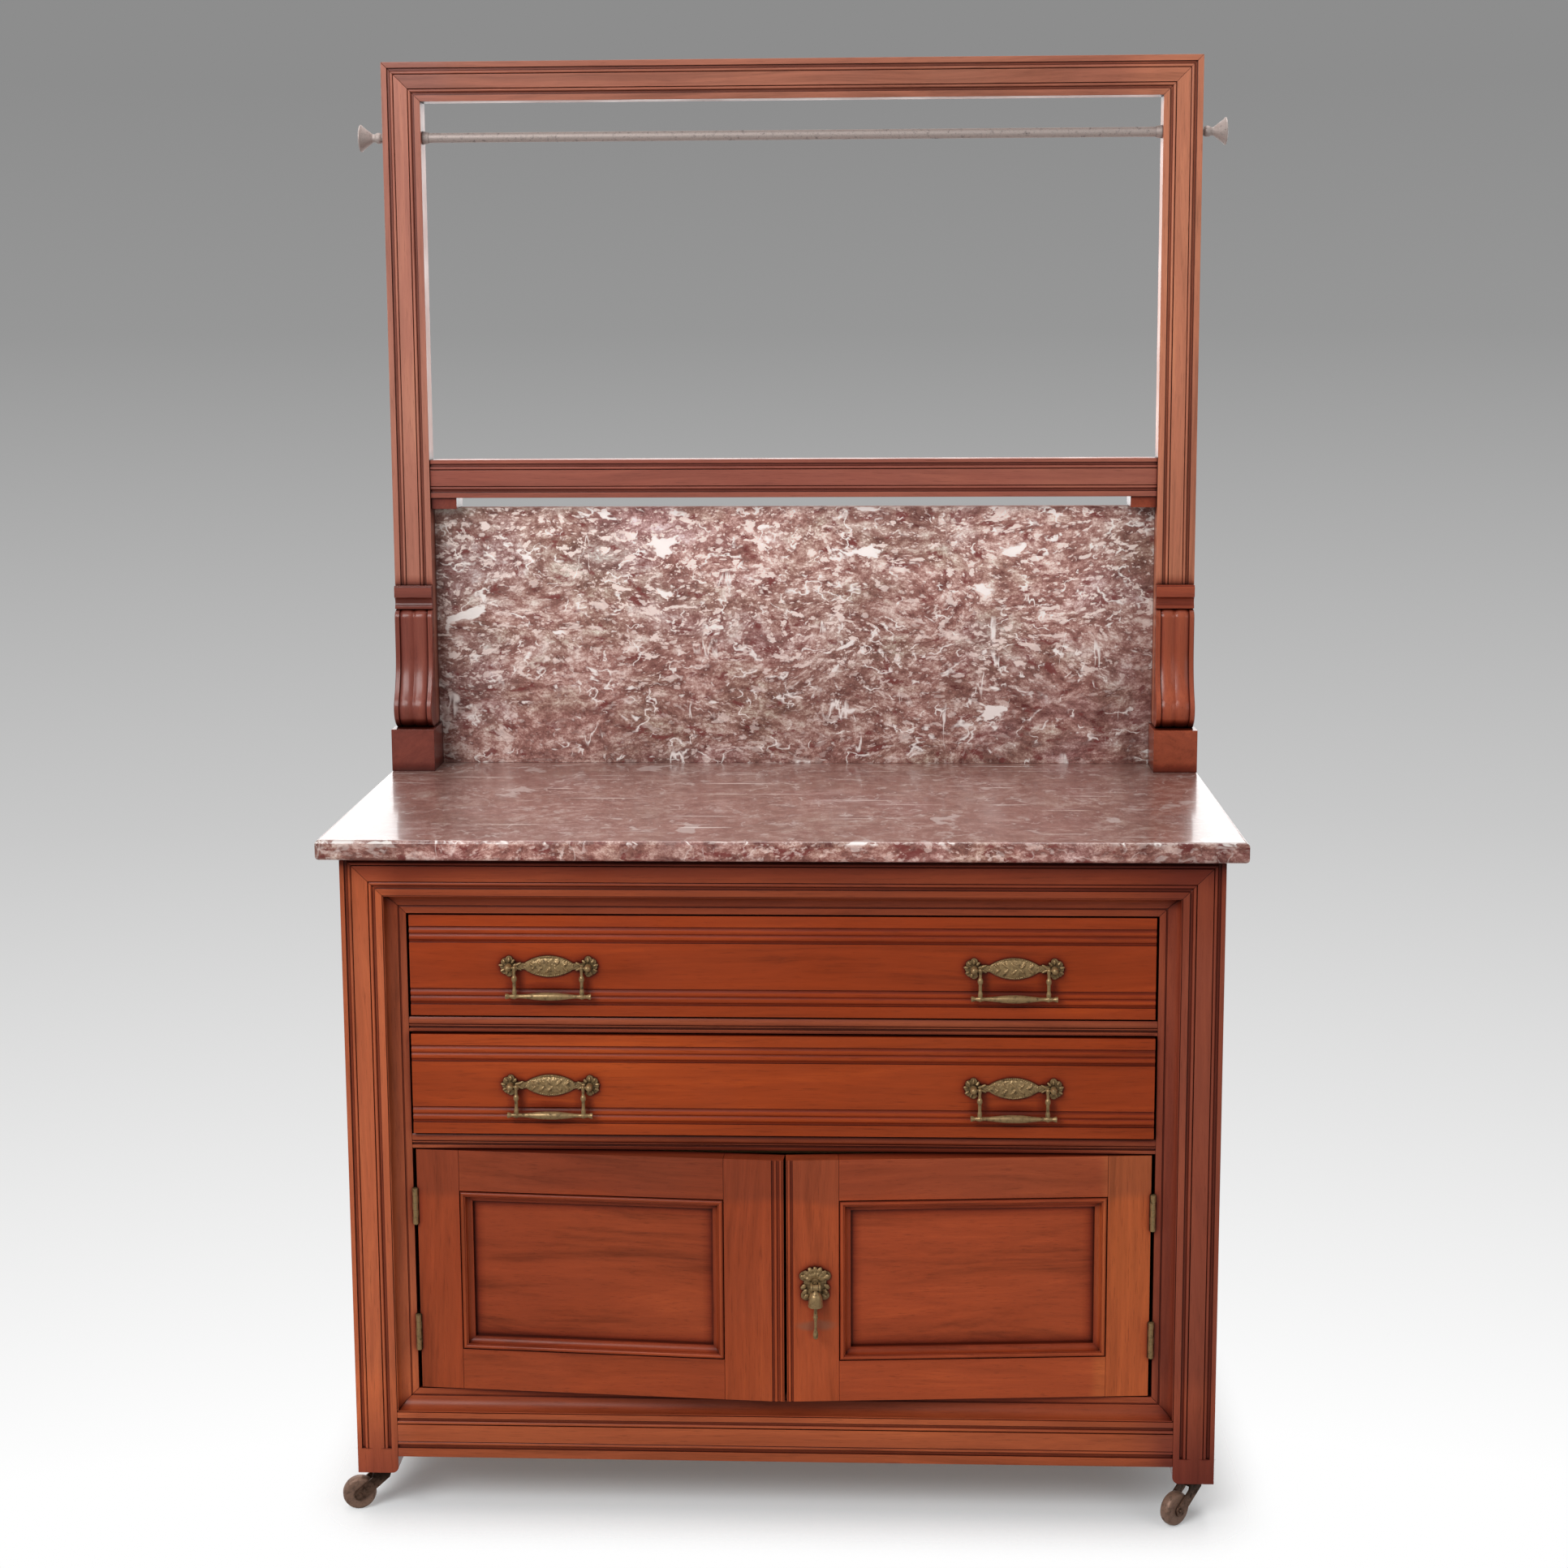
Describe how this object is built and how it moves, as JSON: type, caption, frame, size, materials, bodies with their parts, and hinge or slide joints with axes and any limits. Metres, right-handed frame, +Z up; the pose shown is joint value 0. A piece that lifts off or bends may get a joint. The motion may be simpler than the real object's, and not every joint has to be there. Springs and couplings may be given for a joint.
{
  "type": "washstand with marble top",
  "caption": "Wooden washstand with marble top and splashback, long drawers, paneled cupboard doors, towel gallery with brass rod, and casters.",
  "frame": {"origin": "centre of the bounding box at floor level, under the wheels", "axes": "+Z up, +X to the right as seen from the front, -Y towards the front with the drawers and doors"},
  "size_m": [1.121, 0.5383, 1.755],
  "materials": {
    "case_wood": "satin red-brown mahogany",
    "gallery_wood": "satin mahogany, a little faded",
    "inner_wood": "dull aged pine",
    "marble": "polished red-brown fossil marble",
    "polished_brass": "dull polished brass",
    "aged_brass": "aged brass",
    "hinge_brass": "worn brass",
    "caster_metal": "dark tarnished brass",
    "caster_wheel": "worn dark hardwood"
  },
  "bodies": {
    "case": {"legs_front": "case_wood", "legs_rear": "case_wood", "rail_front_top": "case_wood", "rail_front_bottom": "case_wood", "opening_moulding": "case_wood", "side_rails": "case_wood", "side_panels": "case_wood", "drawer_rails": "case_wood", "drawer_runners": "inner_wood", "cupboard_floor": "inner_wood", "dust_board": "inner_wood", "door_stops": "inner_wood", "rear_rails": "inner_wood", "back_boards": "inner_wood", "top_bearers": "inner_wood", "marble_top": "marble", "splashback": "marble", "gallery_uprights": "gallery_wood", "gallery_top_rail": "gallery_wood", "gallery_mid_rail": "gallery_wood", "splash_blocks": "case_wood", "scroll_brackets": "gallery_wood", "bracket_collars": "gallery_wood", "gallery_plinths": "gallery_wood", "gallery_stays": "inner_wood", "towel_rod": "polished_brass", "rod_finials": "polished_brass", "hinges_left_case": "hinge_brass", "hinges_right_case": "hinge_brass", "caster_sockets": "caster_metal"},
    "drawer_upper": {"drawer_upper_front": "case_wood", "drawer_upper_box": "inner_wood", "handle_plates_upper": "aged_brass"},
    "drawer_lower": {"drawer_lower_front": "case_wood", "drawer_lower_box": "inner_wood", "handle_plates_lower": "aged_brass"},
    "bail_upper_left": {"bail_upper_left": "aged_brass"},
    "bail_upper_right": {"bail_upper_right": "aged_brass"},
    "bail_lower_left": {"bail_lower_left": "aged_brass"},
    "bail_lower_right": {"bail_lower_right": "aged_brass"},
    "door_left": {"door_left_stiles": "case_wood", "door_left_rails": "case_wood", "door_left_panel": "case_wood", "hinges_left_door": "hinge_brass"},
    "door_right": {"door_right_stiles": "case_wood", "door_right_rails": "case_wood", "door_right_panel": "case_wood", "hinges_right_door": "hinge_brass", "pull_plate": "aged_brass"},
    "pull": {"pull_drop": "aged_brass"},
    "caster_front_left": {"horn_front_left": "caster_metal"},
    "wheel_front_left": {"wheel_front_left": "caster_wheel"},
    "caster_front_right": {"horn_front_right": "caster_metal"},
    "wheel_front_right": {"wheel_front_right": "caster_wheel"},
    "caster_rear_left": {"horn_rear_left": "caster_metal"},
    "wheel_rear_left": {"wheel_rear_left": "caster_wheel"},
    "caster_rear_right": {"horn_rear_right": "caster_metal"},
    "wheel_rear_right": {"wheel_rear_right": "caster_wheel"}
  },
  "joints": [
    {"name": "drawer_upper_slide", "type": "slide", "parent": "case", "child": "drawer_upper", "axis": [0, -1, 0], "range_m": [0, 0.3]},
    {"name": "drawer_lower_slide", "type": "slide", "parent": "case", "child": "drawer_lower", "axis": [0, -1, 0], "range_m": [-0.004, 0.3]},
    {"name": "bail_upper_left_swing", "type": "hinge", "parent": "drawer_upper", "child": "bail_upper_left", "pos_m": [-0.271, -0.23376, 0.676], "axis": [-1, 0, 0], "range_deg": [-8, 90]},
    {"name": "bail_upper_right_swing", "type": "hinge", "parent": "drawer_upper", "child": "bail_upper_right", "pos_m": [0.271, -0.23376, 0.676], "axis": [-1, 0, 0], "range_deg": [-8, 90]},
    {"name": "bail_lower_left_swing", "type": "hinge", "parent": "drawer_lower", "child": "bail_lower_left", "pos_m": [-0.271, -0.23776, 0.5335], "axis": [-1, 0, 0], "range_deg": [-8, 90]},
    {"name": "bail_lower_right_swing", "type": "hinge", "parent": "drawer_lower", "child": "bail_lower_right", "pos_m": [0.271, -0.23776, 0.5335], "axis": [-1, 0, 0], "range_deg": [-8, 90]},
    {"name": "door_left_hinge", "type": "hinge", "parent": "case", "child": "door_left", "pos_m": [-0.4355, -0.22526, 0.3035], "axis": [0, 0, -1], "range_deg": [-3.7, 100]},
    {"name": "door_right_hinge", "type": "hinge", "parent": "case", "child": "door_right", "pos_m": [0.4355, -0.22526, 0.3035], "axis": [0, 0, 1], "range_deg": [-3.7, 100]},
    {"name": "pull_swing", "type": "hinge", "parent": "door_right", "child": "pull", "pos_m": [0.04032, -0.26234, 0.3015], "axis": [-0.9979, -0.0645, 0], "range_deg": [-5, 85]},
    {"name": "swivel_front_left", "type": "hinge", "parent": "case", "child": "caster_front_left", "pos_m": [-0.4865, -0.21626, 0.046], "axis": [0, 0, 1], "continuous": true},
    {"name": "wheel_front_left_spin", "type": "hinge", "parent": "caster_front_left", "child": "wheel_front_left", "pos_m": [-0.51355, -0.22351, 0.02], "axis": [0.2588, -0.9659, 0], "continuous": true},
    {"name": "swivel_front_right", "type": "hinge", "parent": "case", "child": "caster_front_right", "pos_m": [0.4865, -0.21626, 0.046], "axis": [0, 0, 1], "continuous": true},
    {"name": "wheel_front_right_spin", "type": "hinge", "parent": "caster_front_right", "child": "wheel_front_right", "pos_m": [0.46569, -0.235, 0.02], "axis": [0.6691, -0.7431, 0], "continuous": true},
    {"name": "swivel_rear_left", "type": "hinge", "parent": "case", "child": "caster_rear_left", "pos_m": [-0.4865, 0.22474, 0.046], "axis": [0, 0, 1], "continuous": true},
    {"name": "wheel_rear_left_spin", "type": "hinge", "parent": "caster_rear_left", "child": "wheel_rear_left", "pos_m": [-0.51281, 0.23431, 0.02], "axis": [-0.342, -0.9397, 0], "continuous": true},
    {"name": "swivel_rear_right", "type": "hinge", "parent": "case", "child": "caster_rear_right", "pos_m": [0.4865, 0.22474, 0.046], "axis": [0, 0, 1], "continuous": true},
    {"name": "wheel_rear_right_spin", "type": "hinge", "parent": "caster_rear_right", "child": "wheel_rear_right", "pos_m": [0.51281, 0.23431, 0.02], "axis": [-0.342, 0.9397, 0], "continuous": true}
  ]
}
